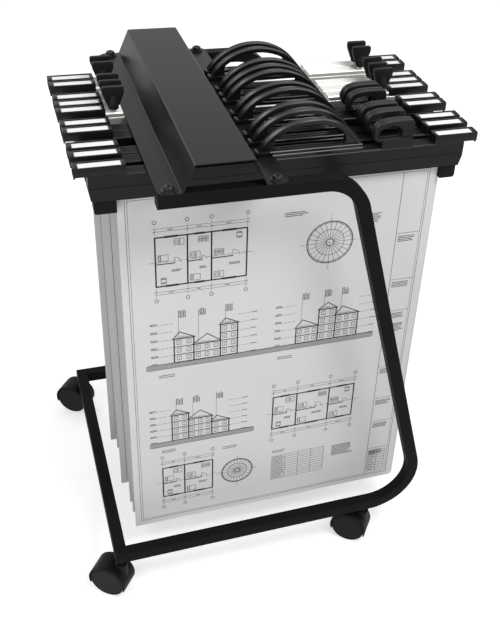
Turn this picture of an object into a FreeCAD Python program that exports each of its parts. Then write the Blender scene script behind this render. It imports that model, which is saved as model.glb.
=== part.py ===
import FreeCAD, Part
import math
import os

# Plan hanging rack on castors: two bent-tube side frames, a channel cover across their top arms,
# and ten clamp binders hooked on the channel, each holding a pack of A1 drawings.
# Working frame (mm): x = 0 left end of the base, y = 0 front of the front frame, z = 0 underside of the base.
# Everything is moved at export so that the origin is the middle of the footprint on the floor.

V = FreeCAD.Vector
AX = V(1, 0, 0)
AY = V(0, 1, 0)
AZ = V(0, 0, 1)

# ---------------------------------------------------------------- frame and cover
DEPTH = 612.0               # over both side frames
TUBE = 25.0                 # square tube
TUBE_WALL = 1.5
TUBE_ROUND = 2.5            # outer corner radius
ARM_TOP = 847.0             # top of the upper arms
LEAN = math.radians(15.4)   # upright against the vertical
UPRIGHT_FOOT = 696.0        # outer face of the upright at z = 0
LOW_BEND = 103.0            # outer radius, lower bend
TOP_BEND = 86.0             # outer radius, upper bend
ARM_END = 109.0             # free end of the upper arm
PLUG = 2.0                  # cap of a tube plug
PLUG_LOW = 20.0             # stub of a plug in the base
PLUG_ARM = 12.0             # stub of a plug in an upper arm
RUN = 0.05                  # running clearance

SHEET_METAL = 2.0
FLANGE_LEFT = (110.0, 149.0)
FLANGE_RIGHT = (291.0, 330.0)
COVER_TOP = (170.0, 270.0)
COVER_RISE = 50.0           # cover top over the arms
COVER_CORNER = 12.0         # rounded ends of the flanges
FOLD = 2.0                  # inner radius of the cover's folds
BOLT_X = (130.0, 311.0)
BOLT = 4.0                  # shank radius
BOLT_HEAD = 9.0
BOLT_RISE = 7.5
WASHER = 10.0
WASHER_THICK = 1.5

# ---------------------------------------------------------------- castors
CASTOR = 96.0               # floor to the underside of the base
WHEEL = 37.5
WHEEL_WIDE = 16.8
WHEEL_GAP = 6.8             # from the castor's middle plane to a wheel
WHEEL_ROUND = 2.5
RIM = (33.5, 32.3, 0.7)     # groove in the wheel's outer face: radii and depth
AXLE = 4.0
TRAIL = 24.5
TURN = 37.0                 # all four castors trail to the rear left
HOOD = 41.0
HOOD_HALF = 24.5
HOOD_ROUND = 1.5
HOOD_WEB = 6.3              # half thickness between the wheels
HOOD_LOW = 13.0             # the hood ends this far below the axle
BOSS = 13.0
STEM_BOSS_GAP = 10.0        # underside of the base to the boss
STEM = 4.0
STEM_NECK = 5.5
STEM_COLLAR = 9.0
COLLAR_THICK = 2.0
NUT_THICK = 8.0
STEM_X = (TUBE / 2.0, UPRIGHT_FOOT - 147.0)

# ---------------------------------------------------------------- binders
BINDER_Y = (103.0, 145.0, 177.0, 237.0, 267.0, 322.0, 351.0, 381.0, 441.0, 470.0)
LEVER_BINDERS = 5           # the front five have a lever, the rear five squeeze paddles
SHEET_LEFT = (58.5, 59.5, 58.5, 49.5, 60.0, 59.0, 58.5, 48.5, 60.0, 59.5)
SHEET_WIDE = 594.0          # A1
SHEET_LONG = 841.0
SHEET_PACK = 1.0
SHEET_GAP = 0.5             # sheet edge to an edge stop

STOP = 30.5                 # length of the right edge stop
STOP_INSET = 9.0            # right edge stop to the bar's right end
STOP_DROP = 25.0            # height of an edge stop
STOP_ROUND = 5.0
JAW_CLEAR = 0.8             # room for the jaw over an edge stop, and under the skirt
BAR_LEFT = 13.0
BAR_RIGHT = max(SHEET_LEFT) + SHEET_WIDE + SHEET_GAP + STOP + STOP_INSET
STOP_LEFT = BAR_LEFT + 7.0
BAR_HALF = 12.5
BAR_TOP = 845.0
BAR_HIGH = 48.0
BAR_LOW = BAR_TOP - BAR_HIGH
BAR_SLANT = 7.0             # ends lean in by this much at the bottom
BAR_SQUARE = 20.0           # height over the bar's underside where the lean ends
BAR_EDGE = 2.0              # bevel along the front top edge
STRIP = 8.0                 # height of the paddle binders' raised strips
BAR_WALL = 2.0
BAR_FLOOR = 2.5             # top and bottom of the bar's chamber
SKIRT_LOW = BAR_TOP - 23.0  # underside of the fixed front skirt
SKIRT_BACK = 1.2            # rear face of the skirt, ahead of the middle
HINGE_Y = -6.5
HINGE_Z = BAR_TOP - 18.0
BEAD = 3.0                  # radius of the jaw's hinge bead
BEAD_NECK = 1.5             # half thickness of the rib under the bead
SHEET_TOP = BAR_TOP - 19.0
CLAMP_FACE = 0.8            # fixed clamping face of the spine, behind the middle
FLUTES = (-8.0, -4.0, 0.0, 4.0, 8.0)
FLUTE_TOP = 1.2             # half width of a flute at the bar's top
FLUTE_FOOT = 0.8            # half width at its bottom
FLUTE_DEEP = 0.8

PADDLE_X = (BAR_LEFT + 79.0, BAR_RIGHT - 75.0)
PADDLE_HALF = 20.0
PADDLE_NECK = 10.5          # half width at the foot of the blade
PADDLE_THICK = 8.0
PADDLE_ROUND = 4.0
PADDLE_Z = (BAR_TOP + 21.0, BAR_TOP + 44.0, BAR_TOP + 56.0)     # foot, shoulder and top of the blade
PADDLE_BOSS = 9.5
BOSS_Z = (BAR_TOP + 14.0, BAR_TOP + 26.0)
SHANK_HALF = 4.0
SHANK_THICK = 4.0

# ---------------------------------------------------------------- fittings
GRIP_X = 397.5              # arch centre
GRIP_Z = BAR_TOP - 48.4
GRIP_RADIUS = 116.4
GRIP_BAND = 12.0
GRIP_HALF = 9.0
GRIP_RIB = 3.2              # ribs along both edges of the arch's sides
GRIP_WEB = 3.5              # half thickness between the side grooves
GROOVE_FROM = math.radians(38.2)
HOOK_X = 298.0
HOOK_TOP = BAR_TOP + 13.0
DECK_X = (331.0, 499.0)
DECK_TOP = BAR_TOP + 12.5
SEAT_X = (333.0, 505.0)
SEAT_HALF = 12.0
SEAT_TOP = BAR_TOP + 7.0
SKID_X = (118.0, 142.0)
SKID_HALF = 6.0

TRAY_OUT = (21.5, 25.0)     # label trays beyond the bar's ends
TRAY = 85.0
TRAY_HALF = 13.0
TRAY_TOP = BAR_TOP + 16.0
TRAY_WALL = 2.5
TRAY_LIP = 4.0              # lip below the bar's top
CARD = 70.0
CARD_HALF = 9.0
CARD_MARGIN = 6.5
CARD_DEEP = 2.0
TRAY_SKIN = 2.2             # plastic under the card
TRAY_X = (BAR_LEFT - TRAY_OUT[0], BAR_RIGHT + TRAY_OUT[1])      # overhanging ends
STRIP_X = (
    (TRAY_X[0] + TRAY, FLANGE_LEFT[0] - 2.0),
    (SEAT_X[1] + 0.5, TRAY_X[1] - TRAY),
)

PIVOT_X = SEAT_X[1] + 79.0
PIVOT_Z = BAR_TOP + 7.0
PIN = 2.0
HUB = 5.8
LEVER_HALF = 9.5
EAR_HALF = 12.3
EAR = 2.5
EAR_TOP = PIVOT_Z + 11.0
EAR_ROUND = 9.0
EAR_X = (PIVOT_X - 54.0, PIVOT_X + 7.0)
LEVER_BOX_END = PIVOT_X - 11.0
LEVER_FOOT = PIVOT_Z + 4.3
LEVER_BOX_TOP = LEVER_FOOT - 0.5
LEVER_HEEL = (-59.0, 5.0)
LEVER_OUTSIDE = ((-62.5, 9.0), (-64.0, 17.0), (-62.0, 27.0), (-54.0, 36.0), (-40.0, 41.0), (-20.0, 41.5),
                 (-4.0, 38.0), (5.0, 30.5), (7.0, 20.0), (LEVER_HEEL[1], 6.0))
LEVER_INSIDE = ((-53.0, 10.0), (-57.0, 16.5), (-53.5, 24.0), (-42.0, 30.5), (-26.0, 29.5), (-16.5, 20.0),
                (-18.0, 10.0))

# ---------------------------------------------------------------- placing on the floor
cos_t = math.cos(math.radians(TURN))
sin_t = math.sin(math.radians(TURN))
hood_reach = (HOOD - HOOD_ROUND) * cos_t + (HOOD_HALF - HOOD_ROUND) * sin_t + HOOD_ROUND
x_low = STEM_X[0] - TRAIL * cos_t - hood_reach
x_high = TRAY_X[1]
SHIFT = V(-(x_low + x_high) / 2.0, -(DEPTH / 2.0 + TRAIL * sin_t), CASTOR)

os.makedirs("parts", exist_ok=True)


def export(name, shape):
    moved = shape.copy()
    moved.translate(SHIFT)
    moved.exportStep("parts/" + name + ".step")


def box(x0, x1, y0, y1, z0, z1):
    return Part.makeBox(x1 - x0, y1 - y0, z1 - z0, V(x0, y0, z0))


def rod(radius, start, axis, length):
    return Part.makeCylinder(radius, length, start, axis)


def slab_y(points, y0, y1):
    """Flat outline in x and z, drawn out from y0 to y1."""
    wire = Part.makePolygon([V(x, y0, z) for x, z in points + points[:1]])
    return Part.Face(wire).extrude(V(0, y1 - y0, 0))


def slab_x(points, x0, x1):
    """Flat outline in y and z, drawn out from x0 to x1."""
    wire = Part.makePolygon([V(x0, y, z) for y, z in points + points[:1]])
    return Part.Face(wire).extrude(V(x1 - x0, 0, 0))


def edges_where(shape, test):
    return [e for e in shape.Edges if test(e)]


def along(edge, axis):
    """True for a straight edge that runs along the axis."""
    if edge.Curve.TypeId != "Part::GeomLine":
        return False
    way = edge.Vertexes[1].Point - edge.Vertexes[0].Point
    return abs(way.dot(axis)) > 0.999 * way.Length


def square_wire(size, radius, centre, across):
    """Rounded square outline of a tube whose path starts along x, or along y if across is True."""
    side = AX if across else AY
    flat = size / 2.0 - radius
    corners = ((1, 1), (-1, 1), (-1, -1), (1, -1))
    half_way = radius * math.sqrt(0.5)
    arcs = []
    for a, b in corners:
        mid = centre + side * (a * flat) + AZ * (b * flat)
        first, last = (side * a, AZ * b) if a * b > 0 else (AZ * b, side * a)
        arcs.append(Part.Arc(
            mid + first * radius, mid + first * half_way + last * half_way, mid + last * radius).toShape())
    whole = []
    for i in range(4):
        whole.append(arcs[i])
        whole.append(Part.makeLine(arcs[i].Vertexes[-1].Point, arcs[(i + 1) % 4].Vertexes[0].Point))
    return Part.Wire(whole)


def tube_along(path, start, across):
    """Square tube along a path."""
    outer = path.makePipeShell([square_wire(TUBE, TUBE_ROUND, start, across)], True, False)
    bore = square_wire(TUBE - 2.0 * TUBE_WALL, TUBE_ROUND - TUBE_WALL, start, across)
    return outer.cut(path.makePipeShell([bore], True, False))


# ---------------------------------------------------------------- side frames
def frame_path(y):
    """Centre line of one side frame, from the base's left end round to the free arm end."""
    half = TUBE / 2.0
    c, s = math.cos(LEAN), math.sin(LEAN)
    low_r = LOW_BEND - half
    top_r = TOP_BEND - half
    low_c = V(UPRIGHT_FOOT - (LOW_BEND + s * LOW_BEND) / c, y, LOW_BEND)
    top_z = ARM_TOP - TOP_BEND
    top_c = V(UPRIGHT_FOOT - (TOP_BEND + s * top_z) / c, y, top_z)
    out = V(c, 0, s)

    def on(centre, radius, degrees):
        a = math.radians(degrees)
        return centre + V(math.cos(a), 0, math.sin(a)) * radius

    lean = math.degrees(LEAN)
    start = V(PLUG, y, half)
    low_a = on(low_c, low_r, -90.0)
    low_b = low_c + out * low_r
    top_a = top_c + out * top_r
    top_b = on(top_c, top_r, 90.0)
    end = V(ARM_END + PLUG, y, ARM_TOP - half)
    return Part.Wire([
        Part.makeLine(start, low_a),
        Part.Arc(low_a, on(low_c, low_r, (lean - 90.0) / 2.0), low_b).toShape(),
        Part.makeLine(low_b, top_a),
        Part.Arc(top_a, on(top_c, top_r, (lean + 90.0) / 2.0), top_b).toShape(),
        Part.makeLine(top_b, end),
    ])


def side_frame(y):
    tube = tube_along(frame_path(y), V(PLUG, y, TUBE / 2.0), False)
    for x in STEM_X:
        tube = tube.cut(rod(STEM_NECK + RUN, V(x, y, -1.0), AZ, TUBE_WALL + 2.0))
    for x in BOLT_X:
        tube = tube.cut(rod(BOLT + RUN, V(x, y, ARM_TOP - TUBE_WALL - 1.0), AZ, TUBE_WALL + 2.0))
    return tube


FRONT_Y = TUBE / 2.0
REAR_Y = DEPTH - TUBE / 2.0
export("front_side_frame", side_frame(FRONT_Y))
export("rear_side_frame", side_frame(REAR_Y))

rail_start = V(TUBE / 2.0, TUBE, TUBE / 2.0)
rail_path = Part.Wire([Part.makeLine(rail_start, rail_start + AY * (DEPTH - 2.0 * TUBE))])
export("base_cross_rail", tube_along(rail_path, rail_start, True))


# ---------------------------------------------------------------- tube plugs
def plug(x, y, z, stub):
    half = TUBE / 2.0
    cap = box(x, x + PLUG, y - half, y + half, z - half, z + half)
    cap = cap.makeFillet(TUBE_ROUND, edges_where(cap, lambda e: along(e, AX)))
    fit = half - TUBE_WALL - RUN
    body = box(x + PLUG, x + PLUG + stub, y - fit, y + fit, z - fit, z + fit)
    body = body.makeFillet(TUBE_ROUND - TUBE_WALL, edges_where(body, lambda e: along(e, AX)))
    return cap.fuse(body)


plugs = []
for y in (FRONT_Y, REAR_Y):
    low = plug(0.0, y, TUBE / 2.0, PLUG_LOW)
    plugs.append(low.cut(rod(STEM_NECK + RUN, V(STEM_X[0], y, -1.0), AZ, TUBE / 2.0 + 3.5)))
    plugs.append(plug(ARM_END, y, ARM_TOP - TUBE / 2.0, PLUG_ARM))
export("tube_end_plugs", Part.makeCompound(plugs))


# ---------------------------------------------------------------- cover channel
def mitre(points, depth):
    """The open outline moved sideways by depth, to its right going along it."""
    moved = []
    for i in range(len(points)):
        before = points[max(i - 1, 0)]
        here = points[i]
        after = points[min(i + 1, len(points) - 1)]
        normals = []
        for a, b in ((before, here), (here, after)):
            run = math.hypot(b[0] - a[0], b[1] - a[1])
            if run > 0:
                normals.append(((b[1] - a[1]) / run, -(b[0] - a[0]) / run))
        nx = sum(n[0] for n in normals) / len(normals)
        nz = sum(n[1] for n in normals) / len(normals)
        scale = depth / (nx * nx + nz * nz)
        moved.append((here[0] + nx * scale, here[1] + nz * scale))
    return moved


def near(edge, spots):
    p = edge.Vertexes[0].Point
    return any(math.hypot(p.x - s[0], p.z - s[1]) < 0.01 for s in spots)


flange_top = ARM_TOP + SHEET_METAL
crown = ARM_TOP + COVER_RISE
skin = [
    (FLANGE_LEFT[0], flange_top),
    (FLANGE_LEFT[1], flange_top),
    (COVER_TOP[0], crown),
    (COVER_TOP[1], crown),
    (FLANGE_RIGHT[0], flange_top),
    (FLANGE_RIGHT[1], flange_top),
]
lining = mitre(skin, SHEET_METAL)
cover = slab_y(skin + lining[::-1], 0.0, DEPTH)
folds = (
    (skin[2:4], FOLD + SHEET_METAL),
    (lining[2:4], FOLD),
    ((skin[1], skin[4]), FOLD),
    ((lining[1], lining[4]), FOLD + SHEET_METAL),
)
for spots, radius in folds:
    cover = cover.makeFillet(radius, edges_where(cover, lambda e: along(e, AY) and near(e, spots)))
tips = edges_where(cover, lambda e: along(e, AZ) and e.Length < SHEET_METAL + 0.1)
cover = cover.makeFillet(COVER_CORNER, tips)

bolts = []
for x in BOLT_X:
    for y in (FRONT_Y, REAR_Y):
        cover = cover.cut(rod(BOLT + 0.3, V(x, y, ARM_TOP - 1.0), AZ, SHEET_METAL + 3.0))
        washer = rod(WASHER, V(x, y, flange_top), AZ, WASHER_THICK)
        head = rod(BOLT_HEAD, V(x, y, flange_top + WASHER_THICK), AZ, BOLT_RISE)
        head = head.makeFillet(3.5, [e for e in head.Edges if e.BoundBox.ZMin > flange_top + BOLT_RISE])
        socket = rod(3.0, V(x, y, flange_top + BOLT_RISE - 1.5), AZ, 4.0)
        shank = rod(BOLT, V(x, y, ARM_TOP - 14.0), AZ, 14.0 + SHEET_METAL)
        bolts.append(head.fuse([washer, shank]).cut(socket))
export("cover_channel", cover)
export("cover_bolts", Part.makeCompound(bolts))


# ---------------------------------------------------------------- castors
def castor_hood():
    """Hood about its axle at the origin: axle along y, stem ahead of it at +x."""
    shell = rod(HOOD, V(0, -HOOD_HALF, 0), AY, 2.0 * HOOD_HALF)
    shell = shell.makeFillet(HOOD_ROUND, [e for e in shell.Edges if not along(e, AY)])
    boss_top = CASTOR - WHEEL - STEM_BOSS_GAP
    boss = rod(BOSS, V(TRAIL, 0, 5.0), AZ, boss_top - 5.0)
    boss = boss.makeFillet(2.0, [e for e in boss.Edges if e.BoundBox.ZMin > boss_top - 1.0])
    shell = shell.cut(box(-HOOD - 1.0, HOOD + 1.0, -HOOD_HALF - 1.0, HOOD_HALF + 1.0, -HOOD - 1.0, -HOOD_LOW))
    shell = shell.fuse(boss)
    well = WHEEL + 0.9
    for side in (-1.0, 1.0):
        shell = shell.cut(rod(well, V(0, HOOD_WEB * side, 0), AY * side, HOOD_HALF))
    shell = shell.cut(rod(AXLE + RUN, V(0, -HOOD_WEB - 1.0, 0), AY, 2.0 * HOOD_WEB + 2.0))
    return shell.cut(rod(STEM + RUN, V(TRAIL, 0, 7.0), AZ, CASTOR))


def castor_wheels():
    """Two wheels and the axle between them, about the axle."""
    solids = [rod(AXLE, V(0, -WHEEL_GAP, 0), AY, 2.0 * WHEEL_GAP)]
    face = WHEEL_GAP + WHEEL_WIDE - RIM[2]
    for side in (-1.0, 1.0):
        wheel = rod(WHEEL, V(0, WHEEL_GAP * side, 0), AY * side, WHEEL_WIDE)
        wheel = wheel.makeFillet(WHEEL_ROUND, [e for e in wheel.Edges if not along(e, AY)])
        groove = rod(RIM[0], V(0, face * side, 0), AY * side, 3.0)
        groove = groove.cut(rod(RIM[1], V(0, face * side, 0), AY * side, 3.0))
        solids.append(wheel.cut(groove))
    return Part.makeCompound(solids)


def stem(x, y, nut):
    foot = WHEEL - CASTOR + 8.0
    whole = rod(STEM, V(x, y, foot), AZ, -foot)
    neck = rod(STEM_NECK, V(x, y, 0.5 - STEM_BOSS_GAP), AZ, STEM_BOSS_GAP - 0.5 + TUBE / 2.0 + 0.5)
    collar = rod(STEM_COLLAR, V(x, y, -COLLAR_THICK), AZ, COLLAR_THICK)
    whole = whole.fuse([neck, collar])
    if nut:
        whole = whole.fuse(rod(STEM_COLLAR, V(x, y, TUBE_WALL), AZ, NUT_THICK))
    return whole


hood = castor_hood()
wheels = castor_wheels()
stems = []
for label_y, y in (("front", FRONT_Y), ("rear", REAR_Y)):
    for label_x, x in (("left", STEM_X[0]), ("right", STEM_X[1])):
        stems.append(stem(x, y, label_x == "right"))
        axle = V(x - TRAIL * cos_t, y + TRAIL * sin_t, WHEEL - CASTOR)
        for kind, shape in (("hood", hood), ("wheels", wheels)):
            placed = shape.copy()
            placed.rotate(V(0, 0, 0), AZ, -TURN)
            placed.translate(axle)
            export("castor_" + kind + "_" + label_y + "_" + label_x, placed)
export("castor_stems", Part.makeCompound(stems))


# ---------------------------------------------------------------- binders
def bar_outline(y0, y1):
    """Side view of the clamp bar, with leaning ends, as a block to trim a profile with."""
    corners = [
        (BAR_LEFT, BAR_TOP + 5.0),
        (BAR_RIGHT, BAR_TOP + 5.0),
        (BAR_RIGHT, BAR_LOW + BAR_SQUARE),
        (BAR_RIGHT - BAR_SLANT, BAR_LOW - 5.0),
        (BAR_LEFT + BAR_SLANT, BAR_LOW - 5.0),
        (BAR_LEFT, BAR_LOW + BAR_SQUARE),
    ]
    return slab_y(corners, y0, y1)


def fluted_top(y, top):
    """Top line of a bar or strip, from its front face to its rear face."""
    line = [(y - BAR_HALF, top - BAR_EDGE), (y - BAR_HALF + BAR_EDGE, top)]
    for middle in FLUTES:
        line += [
            (y + middle - FLUTE_TOP, top),
            (y + middle - FLUTE_FOOT, top - FLUTE_DEEP),
            (y + middle + FLUTE_FOOT, top - FLUTE_DEEP),
            (y + middle + FLUTE_TOP, top),
        ]
    return line + [(y + BAR_HALF, top)]


def spine(y, paddles):
    """Fixed half of the clamp in one extrusion, and the raised strips that the paddles pass through."""
    front = y - BAR_HALF
    rear = y + BAR_HALF
    outline = [(front, SKIRT_LOW)] + fluted_top(y, BAR_TOP) + [
        (rear, BAR_LOW),
        (y + CLAMP_FACE, BAR_LOW),
        (y + CLAMP_FACE, SHEET_TOP + 0.3),
        (y - SKIRT_BACK, SHEET_TOP + 0.3),
        (y - SKIRT_BACK, SKIRT_LOW),
    ]
    body = slab_x(outline, BAR_LEFT, BAR_RIGHT)
    near_wall = y + CLAMP_FACE + BAR_WALL
    far_wall = rear - BAR_WALL
    floor = BAR_LOW + BAR_FLOOR
    roof = BAR_TOP - BAR_FLOOR
    hollow = [(near_wall, floor), (far_wall, floor), (far_wall, roof), (near_wall, roof)]
    body = body.cut(slab_x(hollow, BAR_LEFT - 1.0, BAR_RIGHT + 1.0))
    body = body.common(bar_outline(front - 1.0, rear + 1.0))
    y_bead = y + HINGE_Y
    body = body.cut(rod(BEAD + RUN, V(BAR_LEFT - 1.0, y_bead, HINGE_Z), AX, BAR_RIGHT - BAR_LEFT + 2.0))
    mouth = BEAD_NECK + 0.7
    body = body.cut(box(BAR_LEFT - 1.0, BAR_RIGHT + 1.0, y_bead - mouth, y_bead + mouth, SKIRT_LOW - 1.0, HINGE_Z))
    if not paddles:
        return body
    strip_top = BAR_TOP + STRIP
    strip = [(front, BAR_TOP)] + fluted_top(y, strip_top) + [(rear, BAR_TOP)]
    solids = [body] + [slab_x(strip, x0, x1) for x0, x1 in STRIP_X]
    swing = SHANK_HALF + 0.5
    for x in paddles:
        slot = box(x - swing, x + swing, y_bead - 2.5, y_bead + 5.0, HINGE_Z + 1.5, strip_top + 1.0)
        solids = [solid.cut(slot) for solid in solids]
    return Part.makeCompound(solids)


def jaw(y, paddles):
    """Swinging front half of the clamp on its hinge bead, with the squeeze paddles if it has them."""
    lip = y + CLAMP_FACE - SHEET_PACK - 0.3
    top = SKIRT_LOW - JAW_CLEAR
    outline = [
        (y - BAR_HALF, BAR_LOW),
        (y - BAR_HALF, top),
        (lip - 2.0, top),
        (lip - 2.0, BAR_LOW + 9.0),
        (lip, BAR_LOW + 7.0),
        (lip, BAR_LOW),
    ]
    body = slab_x(outline, BAR_LEFT, BAR_RIGHT)
    y_bead = y + HINGE_Y
    body = body.fuse(box(BAR_LEFT, BAR_RIGHT, y_bead - BEAD_NECK, y_bead + BEAD_NECK, top - 1.0, HINGE_Z))
    body = body.fuse(rod(BEAD, V(BAR_LEFT, y_bead, HINGE_Z), AX, BAR_RIGHT - BAR_LEFT))
    body = body.common(bar_outline(y - BAR_HALF - 1.0, y + BAR_HALF + 1.0))
    thin = SHANK_THICK / 2.0
    thick = PADDLE_THICK / 2.0
    for x in paddles:
        shank = box(x - SHANK_HALF, x + SHANK_HALF, y_bead - thin, y_bead + thin, HINGE_Z, BOSS_Z[0] + 1.0)
        boss = rod(PADDLE_BOSS, V(x, y_bead, BOSS_Z[0]), AZ, BOSS_Z[1] - BOSS_Z[0])
        blade = slab_y([
            (x - PADDLE_NECK, PADDLE_Z[0]),
            (x - PADDLE_HALF, PADDLE_Z[1]),
            (x - PADDLE_HALF, PADDLE_Z[2]),
            (x + PADDLE_HALF, PADDLE_Z[2]),
            (x + PADDLE_HALF, PADDLE_Z[1]),
            (x + PADDLE_NECK, PADDLE_Z[0]),
        ], y_bead - thick, y_bead + thick)
        blade = blade.makeFillet(PADDLE_ROUND, edges_where(
            blade, lambda e: along(e, AY) and e.Vertexes[0].Z > PADDLE_Z[1] - 1.0))
        body = body.fuse([shank, boss, blade])
    return body


# ---------------------------------------------------------------- fittings
def arch(y, outside, inside, y0, y1):
    """Ring about the grip's centre between two radii."""
    centre = V(GRIP_X, y + y0, GRIP_Z)
    return rod(outside, centre, AY, y1 - y0).cut(rod(inside, centre, AY, y1 - y0))


def handle(y):
    """Arched grip with a lip that hooks over the cover's right flange."""
    inside = GRIP_RADIUS - GRIP_BAND
    ring = arch(y, GRIP_RADIUS, inside, -GRIP_HALF, GRIP_HALF)
    reach = 1.5 * GRIP_RADIUS
    fan_x, fan_z = reach * math.cos(GROOVE_FROM), reach * math.sin(GROOVE_FROM)
    fan = [(GRIP_X, GRIP_Z), (GRIP_X - fan_x, GRIP_Z + fan_z), (GRIP_X, GRIP_Z + reach),
           (GRIP_X + fan_x, GRIP_Z + fan_z)]
    for y0, y1 in ((-GRIP_HALF, -GRIP_WEB), (GRIP_WEB, GRIP_HALF)):
        groove = arch(y, GRIP_RADIUS - GRIP_RIB, inside + GRIP_RIB, y0, y1)
        ring = ring.cut(groove.common(slab_y(fan, y + y0, y + y1)))
    ring = ring.common(box(
        GRIP_X - GRIP_RADIUS, GRIP_X + GRIP_RADIUS, y - GRIP_HALF, y + GRIP_HALF,
        DECK_TOP - 2.5, GRIP_Z + GRIP_RADIUS))
    hook_low = flange_top + RUN
    hook = slab_y(
        [(HOOK_X, hook_low), (DECK_X[0] + 1.0, hook_low), (DECK_X[0] + 1.0, HOOK_TOP), (HOOK_X + 0.6, HOOK_TOP)],
        y - GRIP_HALF, y + GRIP_HALF)
    deck = box(DECK_X[0], DECK_X[1], y - GRIP_HALF, y + GRIP_HALF, SEAT_TOP, DECK_TOP)
    seat = box(SEAT_X[0], SEAT_X[1], y - SEAT_HALF, y + SEAT_HALF, BAR_TOP, SEAT_TOP)
    seat = seat.makeFillet(1.5, [e for e in seat.Edges if e.BoundBox.ZMin > SEAT_TOP - 0.1])
    return ring.fuse([hook, deck, seat])


def label_holder(x_out, way, y):
    """Framed label tray on the bar's end; x_out is its overhanging end, which lies the given way."""
    x_in = x_out - way * TRAY
    low, high = min(x_in, x_out), max(x_in, x_out)
    tray = box(low, high, y - TRAY_HALF, y + TRAY_HALF, BAR_TOP, TRAY_TOP)
    tray = tray.makeFillet(2.0, edges_where(tray, lambda e: along(e, AZ)))
    card = sorted((x_in + way * CARD_MARGIN, x_in + way * (CARD_MARGIN + CARD)))
    bed = TRAY_TOP - CARD_DEEP
    tray = tray.cut(box(card[0], card[1], y - CARD_HALF, y + CARD_HALF, bed, TRAY_TOP + 1.0))
    inner = TRAY_HALF - TRAY_WALL
    tray = tray.cut(box(low + TRAY_WALL, high - TRAY_WALL, y - inner, y + inner, BAR_TOP - 1.0, bed - TRAY_SKIN))
    lip = sorted((x_out, x_out - way * TRAY_WALL))
    return tray.fuse(box(lip[0], lip[1], y - inner - 0.5, y + inner + 0.5, BAR_TOP - TRAY_LIP, BAR_TOP + 2.0))


def end_block(x0, x1, y, outer):
    """Edge stop under the bar: its outer lower corner is rounded."""
    low = BAR_LOW - STOP_DROP
    block = box(x0, x1, y - BAR_HALF + 1.5, y + BAR_HALF - 0.5, low, BAR_LOW - JAW_CLEAR)
    block = block.makeFillet(STOP_ROUND, edges_where(
        block, lambda e: along(e, AY) and abs(e.Vertexes[0].X - outer) < 0.01 and e.Vertexes[0].Z < low + 1.0))
    pad = box(x0 + 2.0, x1 - 2.0, y + CLAMP_FACE + 0.7, y + BAR_HALF - 1.0, BAR_LOW - 2.0, BAR_LOW)
    return block.fuse(pad)


def lever_box(y):
    """Housing round the lever's foot, with two cheeks that carry its pivot."""
    base = box(EAR_X[0], LEVER_BOX_END, y - EAR_HALF, y + EAR_HALF, BAR_TOP, LEVER_BOX_TOP)
    for y0 in (y - EAR_HALF, y + EAR_HALF - EAR):
        ear = box(EAR_X[0], EAR_X[1], y0, y0 + EAR, BAR_TOP, EAR_TOP)
        ear = ear.makeFillet(EAR_ROUND, edges_where(
            ear, lambda e: along(e, AY) and e.Vertexes[0].Z > EAR_TOP - 1.0 and e.Vertexes[0].X > PIVOT_X))
        base = base.fuse(ear)
    return base.cut(rod(PIN + RUN, V(PIVOT_X, y - EAR_HALF - 1.0, PIVOT_Z), AY, 2.0 * EAR_HALF + 2.0))


def lever(y):
    """Looped cam lever on its cross pin."""
    faces = []
    for offsets in (LEVER_OUTSIDE, LEVER_INSIDE):
        points = [V(PIVOT_X + dx, y - LEVER_HALF, PIVOT_Z + dz) for dx, dz in offsets]
        curve = Part.BSplineCurve()
        curve.interpolate(points)
        corners = [points[-1]]
        if offsets is LEVER_OUTSIDE:
            corners.append(V(PIVOT_X + LEVER_HEEL[1], y - LEVER_HALF, LEVER_FOOT))
            corners.append(V(PIVOT_X + LEVER_HEEL[0], y - LEVER_HALF, LEVER_FOOT))
        corners.append(points[0])
        edges = [curve.toShape()]
        for a, b in zip(corners, corners[1:]):
            edges.append(Part.makeLine(a, b))
        faces.append(Part.Face(Part.Wire(edges)))
    loop = faces[0].cut(faces[1]).extrude(V(0, 2.0 * LEVER_HALF, 0))
    hub = rod(HUB, V(PIVOT_X, y - LEVER_HALF, PIVOT_Z), AY, 2.0 * LEVER_HALF)
    pin_half = EAR_HALF - 0.1
    pin = rod(PIN, V(PIVOT_X, y - pin_half, PIVOT_Z), AY, 2.0 * pin_half)
    return loop.fuse([hub, pin])


for number, y in enumerate(BINDER_Y):
    name = "binder_%02d_" % (number + 1)
    sprung = number >= LEVER_BINDERS
    paddles = PADDLE_X if sprung else ()
    left = SHEET_LEFT[number]
    export(name + "spine", spine(y, paddles))
    export(name + "jaw", jaw(y, paddles))
    front = y + CLAMP_FACE - SHEET_PACK
    export(name + "sheets", box(left, left + SHEET_WIDE, front, front + SHEET_PACK, SHEET_TOP - SHEET_LONG, SHEET_TOP))
    right_stop = BAR_RIGHT - STOP_INSET
    fittings = [
        handle(y),
        label_holder(TRAY_X[0], -1.0, y),
        label_holder(TRAY_X[1], 1.0, y),
        end_block(STOP_LEFT, left - SHEET_GAP, y, STOP_LEFT),
        end_block(right_stop - STOP, right_stop, y, right_stop),
        box(SKID_X[0], SKID_X[1], y - SKID_HALF, y + SKID_HALF, BAR_TOP, ARM_TOP - RUN),
    ]
    if not sprung:
        fittings.append(lever_box(y))
        export(name + "lever", lever(y))
    export(name + "fittings", Part.makeCompound(fittings))
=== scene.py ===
import math
import random

import bmesh
import bpy
from bpy.props import FloatProperty, FloatVectorProperty, IntProperty, PointerProperty
from mathutils import Matrix, Vector, noise


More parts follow.
